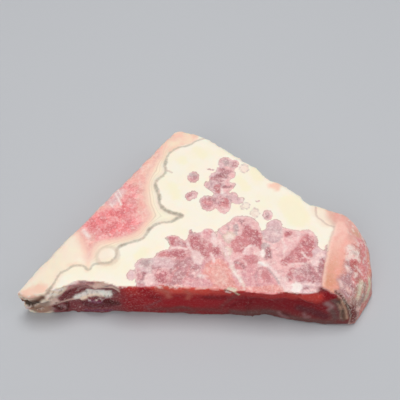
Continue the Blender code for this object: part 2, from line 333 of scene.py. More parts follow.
# Crystals of the two front clusters: tone, the tone of the edge, and the outline
CRYSTALS = (
    # The left cluster
    ("mauve", "", ((176, 260), (190, 258), (199, 264), (208, 266), (210, 274), (204, 286),
        (168, 286), (166, 276), (170, 266))),
    ("lilac", "", ((150, 259), (160, 257), (170, 259), (174, 264), (168, 269), (156, 270),
        (150, 268))),
    ("lilac", "grey lilac", ((135.4, 263), (138, 259), (143, 257.6), (149, 257.4), (152, 261),
        (151, 269), (149, 277), (145, 283), (139, 282), (136, 276), (135, 269))),
    ("grey lilac", "", ((141, 259.6), (149, 258.4), (150, 263), (146, 267), (141, 265))),
    ("dark mauve", "", ((139.6, 271.6), (145, 272), (145.6, 276), (143, 280), (140, 278))),
    ("mauve", "light pink", ((135.6, 271), (139, 270.6), (140.6, 276), (139, 281), (136, 278))),
    ("pale pink", "", ((146, 275), (152, 274), (155, 279), (152, 284), (146, 284))),
    ("wine", "light pink", ((154.6, 274), (156, 269.6), (160, 268.4), (165.6, 270.4), (169, 276),
        (169, 281), (162, 284), (156, 281.6))),
    ("rose", "light pink", ((167, 241), (168.6, 237), (173.6, 235), (179, 236.7), (184, 240.6),
        (190, 243), (191, 250), (184, 251.6), (176, 249.6), (169.6, 249))),
    ("deep rose", "", ((168, 238.6), (172, 237.6), (174, 241), (172, 245), (168.8, 244))),
    ("mauve", "", ((176, 240), (181, 242), (186, 245), (181, 246.6), (175, 244))),
    ("deep rose", "light pink", ((157, 256), (158.6, 252.4), (164, 250.4), (170, 249.8),
        (177, 249.6), (184, 251), (187, 255), (183, 259), (176, 258.6), (168, 257.4),
        (161, 256.4))),
    ("wine", "", ((172, 251.8), (180, 250.8), (184, 253), (183, 257.4), (178, 255.6),
        (172, 254.4))),
    ("clear rose", "", ((160, 253.4), (167, 252), (167, 255.6), (161, 255.8))),
    ("deep rose", "", ((188.6, 238), (192, 236.4), (198, 238), (203, 241), (206, 247),
        (209.6, 256), (207, 262.6), (203, 258.6), (197, 252), (191, 250.6), (189, 244))),
    ("rose", "", ((204, 243), (211, 241), (216, 246), (220, 254), (223, 263), (214, 263),
        (209, 256))),
    ("deep rose", "", ((213.6, 248), (217, 246), (219.6, 252), (222, 260), (218, 262),
        (214.6, 257))),
    ("pink", "pale pink", ((202, 231), (205, 229), (210, 228.6), (213, 231), (214, 237),
        (212, 241.6), (206, 239), (202.6, 236))),
    ("pale pink", "", ((212.6, 233), (216, 234), (217.4, 240), (217, 246.6), (213, 243.6),
        (211, 239))),
    ("pale pink", "", ((191, 251.8), (196, 251), (202, 256), (204, 263), (197, 264),
        (192.6, 259))),
    ("pink", "", ((204, 260), (212, 256), (222, 256), (228, 262), (234, 272), (238, 290),
        (202, 290), (199, 282), (201, 270))),
    ("salmon", "", ((208, 263), (216, 259), (225, 262), (230, 272), (234, 282), (236, 290),
        (206, 290), (202, 282), (204, 270))),
    ("peach salmon", "", ((213, 268), (219, 266), (223, 269), (226, 276), (227, 283), (218, 285),
        (212, 278))),
    ("pink", "", ((184, 278), (196, 279), (207, 279), (212, 284), (206, 288), (186, 287))),
    ("pale pink", "", ((192, 272), (199, 273.6), (206, 276), (202, 278), (195, 276))),
    # The right cluster
    ("light pink", "grey lilac", ((219, 229), (222, 224.6), (226.6, 224.6), (228.4, 229),
        (226, 233.6), (221, 233.6))),
    ("ring", "beige", ((224, 237), (227, 233.6), (232, 233.2), (234.6, 237), (232, 241),
        (226.6, 241.4))),
    ("ring", "beige", ((223.6, 250), (227, 247), (230.6, 249.6), (229.6, 254.6), (225.4, 255))),
    ("grey lilac", "", ((234, 226), (238, 225), (239, 231), (237.6, 235), (235, 233))),
    ("light pink", "pale pink", ((239, 221), (244, 218), (250, 216.6), (256, 219.6), (260, 226),
        (261, 232), (250, 232), (240, 228))),
    ("dark mauve", "", ((238.4, 220.4), (244, 220), (241.4, 224.8))),
    ("deep rose", "light pink", ((230.6, 244), (236, 237.4), (242, 233.6), (243, 226),
        (247, 223.8), (251, 228), (258, 230.6), (262, 236), (263, 243), (260, 250.6), (245, 253),
        (238, 253), (233, 250))),
    ("clear rose", "", ((241.6, 238), (247.6, 236.6), (249.6, 242), (245, 246), (241, 243))),
    ("clear rose", "", ((232.4, 243.4), (237, 239.4), (240, 243), (239, 250), (235, 249))),
    ("wine", "", ((249, 239), (256, 235.4), (261, 240), (258, 247), (252, 244.6))),
    ("light pink", "pale pink", ((245.2, 252), (247, 248), (252, 245.8), (257, 248), (258.6, 253),
        (252, 255.4))),
    ("rose", "", ((244, 256), (250, 254.8), (257, 256), (256.6, 262.6), (250, 265), (244.6, 262))),
    ("rose", "pale pink", ((232, 263), (238, 258.6), (244, 262), (246, 268), (243, 272),
        (238, 269), (233, 268))),
    ("pink", "", ((246, 267), (256, 264.6), (258, 272), (257.6, 286), (246, 288), (242, 276))),
    ("pink", "mauve", ((257.4, 271), (262, 268), (267, 270), (272, 275), (277.6, 280.6),
        (279.6, 287), (262, 288), (257, 282))),
    ("clear rose", "", ((261, 272), (266, 271.6), (270, 278), (267, 282), (262, 278))),
    ("light pink", "", ((270, 242), (282, 239), (292, 240), (291, 251), (287, 256), (281, 263),
        (274, 263), (271, 256))),
    ("grey lilac", "", ((261.6, 245), (266, 243), (270, 245.6), (268, 249), (263, 249.6))),
    ("dark mauve", "", ((265.6, 249), (268, 247.4), (270.8, 250), (271, 256.6), (267, 258.8),
        (264.2, 257))),
    ("white", "", ((260.8, 252), (263.6, 249.8), (264.6, 253), (262.6, 256.6), (260.8, 255.4))),
    ("lilac", "grey lilac", ((262.6, 232), (267, 228), (276, 228.4), (281.6, 232), (281.6, 238),
        (275, 242), (268, 240.6), (264, 237))),
    ("lilac", "grey lilac", ((266.4, 227), (267.4, 222), (272, 219.6), (278, 219.8), (282.4, 223),
        (283, 228.4), (276, 230), (270, 229.6))),
    ("light pink", "pale pink", ((283, 229), (289, 229), (295, 229.6), (298.6, 233), (297, 239),
        (290, 240), (284, 237))),
    ("deep rose", "", ((285.4, 232.4), (289, 230.8), (290.8, 234), (287, 236.8), (285, 235.4))),
    ("light pink", "pale pink", ((299, 232), (303, 229.8), (309, 229.4), (315, 232), (317, 237),
        (308, 240), (301, 238))),
    ("clear rose", "light pink", ((302, 236.4), (307, 234.4), (313.4, 237.6), (316.6, 243),
        (315.6, 250), (312, 258), (304, 264), (293, 263.6), (287.4, 259), (291, 252), (297, 246),
        (300, 241))),
    ("deep rose", "", ((304, 238), (309.6, 236.6), (314, 242), (312, 251), (305, 257), (298, 260),
        (294, 256), (300, 249))),
    ("mauve", "lilac", ((314.6, 234.6), (318, 237.6), (319.4, 243), (318.4, 249), (315.6, 248),
        (315.8, 241))),
    ("deep rose", "", ((281, 262.6), (285, 257.8), (290, 257), (289, 262.4), (284, 265.4))),
    ("lilac", "", ((313, 250.6), (319, 248.6), (327, 250), (325, 257), (316, 258))),
    ("mauve", "", ((303, 264), (313, 264), (324, 262), (324, 284), (308, 285), (303, 276))),
    ("dark mauve", "", ((317.6, 261), (324, 258), (325, 266), (322, 274), (318, 271))),
    ("pale pink", "", ((311.4, 260.4), (316, 257), (319, 260), (316.8, 265.8), (312.4, 265))),
    ("pale pink", "", ((316, 256), (320, 252.6), (323, 255), (319, 259))),
    ("deep rose", "", ((292, 268), (296.4, 271), (293, 277), (289, 282), (286.4, 280.4),
        (288.4, 273))),
    ("mauve", "lilac", ((295.2, 272), (299, 268.4), (304, 268.8), (307.4, 273), (307, 279),
        (302, 283), (297, 281.4), (294.8, 276))),
    ("lilac", "", ((300, 285), (310, 283), (321, 284), (320, 294), (301, 293))),
    ("white", "", ((290.6, 286), (296, 282.8), (301.4, 284.4), (300, 291), (293, 292.6))),
    ("salmon", "", ((228, 288), (240, 287), (256, 287.4), (270, 285.6), (282, 287), (286, 296),
        (228, 296))),
    ("pale pink", "", ((282.6, 278), (288, 281), (291.6, 290), (284.6, 292))),
)
# Veins and specks drawn over the crystals
VEINS = (
    ("dark mauve", 0.35, ((152.6, 269), (156, 267.8), (160.4, 267.4))),
    ("pink", 0.35, ((157.6, 272.6), (160, 271.6), (163, 273))),
    ("pale pink", 0.4, ((172, 247.8), (180, 247.4), (187, 249))),
    ("pale pink", 0.5, ((187, 242), (189, 248), (193, 252))),
    ("grey", 0.45, ((165.4, 237.6), (166.6, 240.4))),
    ("dark mauve", 0.45, ((189, 234), (191.4, 230.8), (194, 232.8))),
    ("rose", 0.4, ((170, 281), (173, 273), (178, 267))),
    ("rose", 0.35, ((184, 282), (188, 273), (190, 266))),
    ("light pink", 0.3, ((195, 277), (198, 270))),
    ("dark mauve", 0.45, ((191, 267), (196, 268.4))),
    ("pale pink", 0.35, ((211, 253), (213.4, 258), (214, 262))),
    ("pale pink", 0.5, ((219, 240), (223, 247), (228, 257), (232, 265))),
    ("ring", 0.55, ((231.6, 267), (235, 273), (239.4, 278.6), (243.6, 285))),
    ("white", 0.2, ((234, 271.4), (238, 277), (241.4, 282))),
    ("light pink", 0.45, ((239, 233), (241, 228), (238.4, 223))),
    ("pale pink", 0.35, ((244, 254), (245.6, 248.6), (250, 246))),
    ("dark mauve", 0.35, ((236, 262), (241, 264), (244, 268))),
    ("pale pink", 0.5, ((259.6, 263.6), (268, 265.6), (274, 271), (280, 279), (284, 287))),
    ("grey lilac", 0.25, ((268, 268.6), (272, 273), (276, 278), (279, 283))),
    ("white", 0.4, ((259.6, 262.6), (263, 263), (265, 265))),
    ("pale pink", 0.45, ((274, 233.6), (277.4, 236))),
    ("pale pink", 0.4, ((282, 239), (285, 246), (284, 254))),
    ("pale pink", 0.3, ((292, 264.8), (297, 263.4), (303, 263.8))),
    ("pale pink", 0.3, ((302, 252), (306, 257), (311, 259))),
    ("dark mauve", 0.4, ((308.6, 271), (311.6, 274))),
    ("dark mauve", 0.35, ((314, 277), (313, 282))),
    ("pale pink", 0.3, ((315.6, 268), (317, 271))),
    ("dark mauve", 0.4, ((304, 289), (308, 287.4))),
    ("pale pink", 0.3, ((303, 284), (309, 284), (314, 285))),
    ("pale pink", 0.35, ((308, 290.6), (314, 289.6), (317, 292))),
)
# Along the rim of the front, on both sides of the edge. The peach salmon and coral streaks are
# painted highlights where the rim catches the light
RIM_STROKES = (
    ("brick", 0.35, ((160, 286), (170, 287), (176, 287.4))),
    ("peach salmon", 0.3, ((174.4, 286.2), (178, 285), (182, 286.4))),
    ("peach salmon", 0.25, ((184, 287), (190, 288))),
    ("peach salmon", 0.32, ((196, 288.8), (202, 288.2), (207, 287.4))),
    ("salmon", 0.3, ((211, 289), (218, 290.6))),
    ("olive", 0.5, ((229, 288.6), (233, 289), (235, 290.4))),
    ("brown", 0.3, ((224.6, 289.6), (228, 291))),
    ("white", 0.2, ((226, 291.4), (230, 292.6))),
    ("olive", 0.22, ((232, 291), (236, 292.6), (239, 294.6))),
    ("coral", 0.5, ((247, 292), (262, 293.4), (280, 294))),
    ("salmon", 0.35, ((262, 290), (272, 290.6))),
    ("brown", 0.25, ((286, 292.6), (292, 294), (298, 293.6))),
)
# On the walls and the rim, where each stroke lies on the side that the pixel shows
FRONT_STROKES = (
    ("brick", 0.8, ((158, 288), (166, 291), (169, 297))),
    ("brick", 0.5, ((186, 291), (190, 294), (188, 298))),
    ("crimson", 1.6, ((143, 290), (151, 294), (156, 299))),
    ("deep crimson", 0.8, ((152, 297), (158, 297))),
    ("maroon", 0.3, ((146, 307), (152, 304.2), (160, 300.4))),
    ("dusky", 0.6, ((150, 309.6), (168, 308.4), (184, 308), (204, 309.4), (222, 310.6))),
    ("slate", 0.35, ((168, 311.6), (180, 312), (194, 311.6))),
    ("slate", 0.2, ((176, 307), (184, 306.6), (189, 308))),
    ("deep crimson", 1.0, ((206, 297), (218, 298), (226, 297))),
    ("dusky", 0.5, ((221, 307), (228, 301), (236, 294.6))),
    ("deep crimson", 1.2, ((229, 306), (238, 302), (246, 304))),
    ("slate", 0.8, ((232, 311), (250, 312.6), (268, 311), (280, 313))),
    ("slate", 0.6, ((286, 315.6), (300, 319), (318, 321), (332, 322))),
    ("blackish", 0.4, ((283.6, 313), (287.6, 314.6))),
    ("mauve grey", 0.25, ((279, 312), (281, 315), (287, 317.6))),
    ("mauve grey", 0.25, ((304, 312.6), (305, 317), (308.6, 316.4))),
    ("dark maroon", 1.4, ((300, 308), (312, 311), (324, 316))),
    ("dark maroon", 0.4, ((296, 293), (306, 292.4), (318, 291.6))),
    ("dark maroon", 0.9, ((321, 289), (328, 291), (334, 294), (337, 297))),
    ("deep crimson", 1.0, ((327, 295.6), (333, 297), (337, 301))),
    ("mauve grey", 0.7, ((327, 303.6), (332, 306), (330, 310))),
    ("slate", 1.0, ((333, 311), (335, 318))),
)
# The broken corner between the tip and the red front, from the cream down to the foot
CORNER_STROKES = (
    # The upright step, from the rim down to the ledge
    ("streak grey", 2.4, ((45, 300), (51, 294), (56, 290), (61, 288))),
    ("step tan", 1.6, ((94, 284), (104, 285), (114, 288))),
    ("step mauve", 1.0, ((70, 289), (76, 284), (84, 282), (91, 283))),
    ("step dusk", 0.5, ((70, 290), (76, 286.4), (84, 285))),
    ("maroon", 0.7, ((61, 298), (66, 293.6), (72, 290))),
    ("dark maroon", 0.4, ((62, 299), (66, 294.6), (71, 290))),
    ("step dusk", 0.45, ((78.6, 288.4), (84, 286.6), (89, 287))),
    ("dark maroon", 0.3, ((84, 289.4), (88, 289.2))),
    ("mauve grey", 0.4, ((80, 282), (86, 281.6), (92, 283))),
    ("tan", 0.3, ((97, 282.4), (104, 281.6))),
    ("mauve grey", 0.3, ((106, 286.6), (112, 285.4), (116, 288))),
    ("maroon", 0.6, ((113, 289), (116, 292), (117, 296))),
    # A painted highlight on the lit edge above the step
    ("pale pink", 0.35, ((67, 286.4), (71, 284.4), (77, 283))),
    # The ledge
    ("streak white", 0.7, ((76, 297.6), (82, 295), (89, 291.6))),
    ("streak white", 1.0, ((90, 291.4), (98, 291.6), (105, 293.4), (109, 294))),
    ("streak grey", 0.3, ((88, 295.4), (96, 294.4), (104, 296))),
    ("streak grey", 0.5, ((81, 299), (86, 297))),
    ("step tan", 0.3, ((57, 303.6), (62, 301.6), (68, 299.8), (74, 298.8))),
    # The wall below it
    ("maroon", 1.6, ((72, 305), (80, 305.4))),
    ("dark maroon", 1.9, ((87, 304), (98, 304), (108, 303))),
    ("purple", 0.5, ((90, 301), (102, 302))),
    ("blackish", 1.0, ((107, 302), (117, 303))),
    ("blackish", 0.5, ((66, 302), (68, 305), (67, 310))),
    ("blackish", 0.8, ((55, 307), (61, 309))),
    ("mauve grey", 0.35, ((61.6, 304.6), (64, 305.6), (65.6, 308))),
    ("purple", 0.4, ((86, 310), (98, 310), (112, 310))),
    ("mauve grey", 0.7, ((48, 309), (53, 308.6))),
    # The face left of it, under the grey line
    ("step tan", 1.0, ((42, 304), (50, 302.6), (56, 300.6))),
    ("streak white", 0.4, ((46.6, 297.4), (51, 294.6), (55, 294.6))),
    ("streak white", 0.5, ((54, 291), (58, 289.6), (62, 289.4))),
    ("ashen", 0.3, ((50, 298.6), (56, 297.6), (59, 295.6))),
    ("olive shade", 0.4, ((52.6, 285), (49, 290), (45.4, 294.6), (42, 298))),
)
# Where the corner is rough and gets painted glints with darker specks: the ledge, and the face at
# its left
SPARKLING = (((70, 299), (80, 296), (90, 293), (111, 294)), ((47, 301), (53, 293), (60, 289.6)))
TIP_STROKES = (
    ("tip peach", 2.2, ((21, 294), (28, 293), (36, 292))),
    ("tip cream", 1.0, ((38, 294), (44, 290))),
    ("lip", 1.8, ((30, 307), (38, 308), (49, 307))),
    ("olive shade", 1.0, ((42, 303), (49, 302))),
    ("lip lilac", 0.6, ((27, 306.6), (28, 308.6))),
    ("brown", 0.3, ((32, 307), (38, 308), (44, 306.4))),
    # These three strokes are painted shade: under the rounded nose and in the groove below it
    ("tan", 0.4, ((21, 297.6), (27, 298.4), (34, 298), (41, 296))),
    ("brown", 0.7, ((22, 299.4), (26, 300.8), (32, 301.2), (38, 300), (43, 297))),
    ("groove", 0.9, ((28, 302.8), (33, 302.8), (37, 301.8))),
)
END_STROKES = (
    ("peach salmon", 3.0, ((342, 218), (350, 228), (354, 237))),
    ("band peach", 1.2, ((341, 225), (345, 231))),
    ("band tan", 0.7, ((354, 231), (359, 237))),
    ("rind pale", 1.5, ((350, 250), (355, 253), (350, 258))),
    ("rind white", 0.6, ((349.5, 247), (352, 250.6), (351, 254))),
    ("rind white", 0.6, ((357.6, 254), (357, 258), (349, 260.6))),
    ("ashen", 0.4, ((353.4, 252), (355, 253.4))),
    ("rind lilac", 1.6, ((351, 266), (353, 274), (350, 280))),
    ("rind rose", 1.6, ((356, 264), (359, 272), (356, 280))),
    ("rind deep", 1.4, ((355, 265), (358, 270), (357, 277))),
    ("rind white", 0.35, ((357, 267.6), (358.6, 270))),
    ("rind white", 0.35, ((357, 274), (355, 277))),
    ("rind white", 0.45, ((346.6, 267), (348.6, 270))),
    ("rind rose", 2.4, ((362, 244), (366, 258), (364, 272))),
    ("rind white", 0.35, ((365, 243.6), (367, 246))),
    ("rind salmon", 1.0, ((368, 254), (370, 266), (369, 279))),
    ("rind lilac", 2.2, ((344, 283), (349, 289), (345, 293))),
    ("rind pale", 0.5, ((347.6, 289), (350, 291))),
    ("rind pale", 0.4, ((340, 282), (342, 286))),
    ("rind grey", 0.7, ((338, 292), (342, 296), (345, 300))),
    ("olive", 1.0, ((361, 284), (359, 292), (355.6, 302))),
    ("olive", 1.2, ((370, 281), (368.8, 290), (366, 299))),
    ("olive shade", 0.5, ((365, 284), (363.8, 293), (360, 304))),
    ("olive shade", 0.3, ((357.4, 286), (355.6, 293))),
    ("rind grey", 1.8, ((352, 303), (357, 307), (363, 303))),
    ("rind pale", 0.7, ((356, 309.8), (360, 309.2))),
    # The rind brown stroke is painted shade low on the rind, where it faces down
    ("rind brown", 1.8, ((351.6, 311), (353, 320))),
    ("rind grey", 1.0, ((359, 316), (363, 310))),
)
CRACK = ((336, 292), (339.4, 294), (343.4, 298), (346.8, 304), (349.4, 311), (350.4, 317))
CRACK_STROKES = (
    ("slate", 1.4, ((335, 302), (339, 310), (340, 320))),
    ("brown", 0.5, ((339, 297.6), (343, 303), (345, 311), (344.6, 319))),
    ("tan", 0.3, ((342, 302), (346, 310), (347.4, 318))),
    ("tan", 0.25, ((338, 303), (341.6, 310), (341, 318))),
    ("groove", 0.3, ((338.4, 300.6), (339.6, 303))),
    ("groove", 0.3, ((342.4, 310), (342, 317))),
    ("groove", 0.3, CRACK),
)
# How strong the painted glow of light through the stone under the rim and the grey at the foot are
# along the front: pixel, strength
FRONT_GLOW = (
    (112, 0.1), (130, 0.25), (150, 0.6), (170, 0.95), (205, 0.95), (222, 0.5), (240, 0.2),
    (285, 0.25), (298, 0.65), (318, 0.6), (326, 0.2), (334, 0.0),
)
FRONT_GREY = ((112, 0.3), (150, 0.35), (190, 0.5), (222, 0.6), (240, 0.9), (300, 1.0), (330, 0.8))
FRONT_DARK = ((112, 0.5), (128, 0.25), (150, 0.0), (205, 0.15), (228, 0.35), (240, 0.9), (330, 1.0))
# The edge of the peach band at the rind end, and how wide the band is at front and back
PEACH_EDGE = (
    (321, 300), (321.5, 288), (322.6, 277), (324, 266), (327, 252), (330.5, 238), (334.5, 228),
    (336, 217), (335, 208),
)
PEACH_WIDTH, PEACH_WIDTH_BACK = 5.2, 9.0


# From pixels to the stone


def camera_place():
    back = Vector((0.0, -math.cos(ELEVATION), math.sin(ELEVATION)))
    return AIM + DISTANCE * back, back


def bvh_of(obj):
    mesh = obj.data
    return BVHTree.FromPolygons(
        [vertex.co for vertex in mesh.vertices], [face.vertices for face in mesh.polygons]
    )


SOLID = bvh_of(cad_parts[NODE])


def ray(pixel):
    place, back = camera_place()
    up = Vector((0.0, back.z, -back.y))
    across, down = pixel[0] - PHOTO_SIDE / 2, pixel[1] - PHOTO_SIDE / 2
    return place, (Vector((1.0, 0.0, 0.0)) * across - up * down - back * FOCAL_LENGTH).normalized()


def seen(pixel):
    """The point of the solid that this pixel shows, or that of the top plane beyond it."""
    place, along = ray(pixel)
    hit = SOLID.ray_cast(place, along)[0]
    return (hit or on_top(pixel) * MM) / MM


def on_top(pixel):
    place, along = ray(pixel)
    return (place + along * ((TOP * MM - place.z) / along.z)) / MM


def top_points(pixels):
    return np.array([on_top(pixel)[:2] for pixel in pixels])


def wall_points(pixels):
    return np.array([seen(pixel)[:] for pixel in pixels])


# Distances, all in millimetres


def curve_through(points, closed=False, steps=5):
    """A smooth line through the points (Catmull-Rom)."""
    count = len(points)
    made = []
    for i in range(count if closed else count - 1):
        around = [i - 1, i, i + 1, i + 2]
        around = [k % count if closed else min(max(k, 0), count - 1) for k in around]
        a, b, c, d = points[around]
        for t in np.arange(steps) / steps:
            made.append(
                0.5 * (2 * b + (c - a) * t + (2 * a - 5 * b + 4 * c - d) * t**2
                       + (3 * b - a - 3 * c + d) * t**3)
            )
    if not closed:
        made.append(points[-1])
    return np.array(made)


def distance(points, line, closed=False):
    """How far each point is from the line."""
    if len(line) == 1:
        return np.linalg.norm(points - line[0], axis=1)
    nearest = np.full(len(points), np.inf)
    ends = np.roll(line, -1, axis=0) if closed else line[1:]
    for start, end in zip(line, ends):
        along = end - start
        share = ((points - start) @ along / max(along @ along, 1e-9)).clip(0, 1)
        gap = points - start - share[:, None] * along
        nearest = np.minimum(nearest, np.einsum("ij,ij->i", gap, gap))
    return np.sqrt(nearest)


def inside(points, outline):
    """Whether each point is inside the closed outline."""
    x, y = points.T
    crossed = np.zeros(len(points), bool)
    for (ax, ay), (bx, by) in zip(outline, np.roll(outline, -1, axis=0)):
        if ay != by:
            crossed ^= ((ay > y) != (by > y)) & (x < (bx - ax) * (y - ay) / (by - ay) + ax)
    return crossed


def depth_inside(points, outline):
    """Distance to the outline, positive inside it and negative outside."""
    return np.where(inside(points, outline), 1, -1) * distance(points, outline, closed=True)


def ease(start, end, value):
    share = ((value - start) / (end - start)).clip(0, 1)
    return share * share * (3 - 2 * share)


def clouds(points, size, shift=0.0):
    """Smooth noise between about -1 and 1, with patches of that size."""
    offset = Vector((shift, 2 * shift, -shift))
    return np.array([noise.noise(Vector(point) + offset) for point in points / size])


# The slab's mesh


def apply_modifiers(obj):
    graph = bpy.context.evaluated_depsgraph_get()
    shaped = bpy.data.meshes.new_from_object(obj.evaluated_get(graph))
    obj.modifiers.clear()
    obj.data = shaped


def numbers(collection, name, width):
    values = np.zeros(len(collection) * width, np.float32)
    collection.foreach_get(name, values)
    return values.reshape(-1, width).astype(float)


def places(obj):
    return numbers(obj.data.vertices, "co", 3) / MM


def set_places(obj, points):
    obj.data.vertices.foreach_set("co", (points * MM).astype(np.float32).ravel())
    obj.data.update()


def fine_slab():
    """The CAD solid with an even, fine mesh and the roughness of its walls."""
    slab = bpy.data.objects.new("slab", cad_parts[NODE].data.copy())
    bpy.context.scene.collection.objects.link(slab)
    even = slab.modifiers.new("even_mesh", "REMESH")
    even.mode, even.voxel_size = "VOXEL", VOXEL * MM
    even.use_smooth_shade = True
    soften = slab.modifiers.new("soften", "SMOOTH")
    soften.factor, soften.iterations = 0.5, SMOOTHING
    apply_modifiers(slab)
    round_off(slab, tip_of, TIP_ROUNDING, TIP_REGAIN)
    round_off(slab, front_of, FRONT_ROUNDING, FRONT_REGAIN)
    points = places(slab)
    normals = numbers(slab.data.vertices, "normal", 3)
    wall = 1 - ease(0.72, 0.97, np.abs(normals[:, 2]))
    rind = rind_share(points)
    moved = np.flatnonzero(wall > 0.02)
    relief = np.zeros(len(points))
    for grains, share in ((GRAIN, 1 - rind), (RIND_GRAIN, rind)):
        for size, height in grains:
            relief[moved] += share[moved] * height * clouds(points[moved], size)
    sawn = ease(0.5, 0.8, normals[:, :2] @ np.array([-0.81, 0.59]))
    relief *= wall * (1 - 0.85 * sawn)
    relief -= CRACK_DEPTH * np.exp(-((distance(points, wall_points(CRACK)) / CRACK_WIDTH) ** 2))
    relief -= NOTCH_DEPTH * np.exp(-((distance(points, wall_points([NOTCH])) / NOTCH_WIDTH) ** 2))
    points += normals * relief[:, None]
    shift = np.interp(points[:, 0], *np.array(SAWN_SHIFT).T) * ease(3, 8, points[:, 2])
    shift -= LIP_DRAWN_IN * ease(7, 4, points[:, 2]) * ease(-43, -47, points[:, 0])
    shift *= ease(3.0, 0.8, inward_of_sawn_side(points))
    points[:, :2] += shift[:, None] * np.array(SAWN_OUTWARD)
    points[:, 2] = points[:, 2].clip(0, TOP)
    set_places(slab, points)
    for face in slab.data.polygons:
        face.use_smooth = True
    return slab


def tip_of(points):
    """1 at the nose, away from the sawn side, whose edge stays sharp."""
    return ease(-41, -44, points[:, 0]) * ease(0.8, 2.4, inward_of_sawn_side(points))


def inward_of_sawn_side(points):
    return (points[:, :2] - SAWN_CORNER) @ -np.array(SAWN_OUTWARD)


def front_of(points):
    return ease(-23, -26, points[:, 1]) * ease(-24, -20, points[:, 0])


def round_off(slab, share_of, turns, regain):
    """Softens the slab's form by the share, then moves it out again by what that took."""
    group = slab.vertex_groups.new(name="soften")
    for index, share in enumerate(share_of(places(slab))):
        if share > 0.01:
            group.add([index], share, "REPLACE")
    soften = slab.modifiers.new("soften", "SMOOTH")
    soften.factor, soften.iterations, soften.vertex_group = 0.5, turns, group.name
    apply_modifiers(slab)
    slab.vertex_groups.clear()
    points = places(slab)
    normals = numbers(slab.data.vertices, "normal", 3)
    points += normals * (regain * share_of(points))[:, None]
    points[:, 2] = points[:, 2].clip(0, TOP)
    set_places(slab, points)


def rind_share(points):
    """1 on the rounded end, 0 elsewhere."""
    return ease(-0.4, 0.8, beyond_peach_edge(points))


def beyond_peach_edge(points):
    """How far each point is past the edge of the peach band, towards the rind."""
    edge = curve_through(top_points(PEACH_EDGE))
    far_side = np.vstack([edge, [[70, 10], [70, -50]]])
    return np.where(inside(points[:, :2], far_side), 1, -1) * distance(points[:, :2], edge)


# The pattern, as numbers on the mesh that the material reads


def linear(tone):
    value = np.array(TONES[tone]) / 255
    # Painted shade on the front's tones
    shade = FRONT_SHADE if tone in FRONT_TONES else 1.0
    return shade * np.where(value <= 0.04045, value / 12.92, ((value + 0.055) / 1.055) ** 2.4)


def grained_tone(name, width):
    """The tone as red, green and blue and, where the width is 4, how strongly its grain shows."""
    return np.append(linear(name), GRAINY_TONES.get(name, GRAIN_SHARE))[:width]


def plain(points, tone, width=3):
    """The one tone for every point."""
    return np.tile(grained_tone(tone, width), (len(points), 1))


def blend(colours, tone, share):
    """Mixes that share of the tone into the colours."""
    colours += (grained_tone(tone, colours.shape[1]) - colours) * share[:, None]


def paint(colours, points, strokes, place, wobble, softness=0.35):
    """Lays the strokes over the colours, one after another, with uneven edges."""
    for tone, radius, pixels in strokes:
        gap = distance(points, place(pixels)) + wobble * min(0.6, 0.45 * radius)
        blend(colours, tone, ease(softness, -softness, gap - radius))


def paint_crystals(colours, points, jag):
    """Fills each crystal's jagged outline, with a thin edge of another tone where it has one."""
    jagged = points + CRYSTAL_JAG * jag
    for tone, edge, outline in CRYSTALS:
        outline = curve_through(top_points(outline), closed=True, steps=3)
        depth = depth_inside(jagged, outline) + CRYSTAL_GROWTH
        blend(colours, tone, ease(-0.3, 0.35, depth))
        if edge:
            blend(colours, edge, CRYSTAL_EDGE * ease(0.45, 0.1, np.abs(depth - 0.1)))


def attach(mesh, name, values):
    """Stores a number or a colour for each vertex under that name."""
    if values.ndim == 1:
        layer = mesh.attributes.new(name, "FLOAT", "POINT")
        layer.data.foreach_set("value", values.astype(np.float32))
    else:
        layer = mesh.attributes.new(name, "FLOAT_COLOR", "POINT")
        with_alpha = np.hstack([values, np.ones((len(values), 1))])
        layer.data.foreach_set("color", with_alpha.astype(np.float32).ravel())


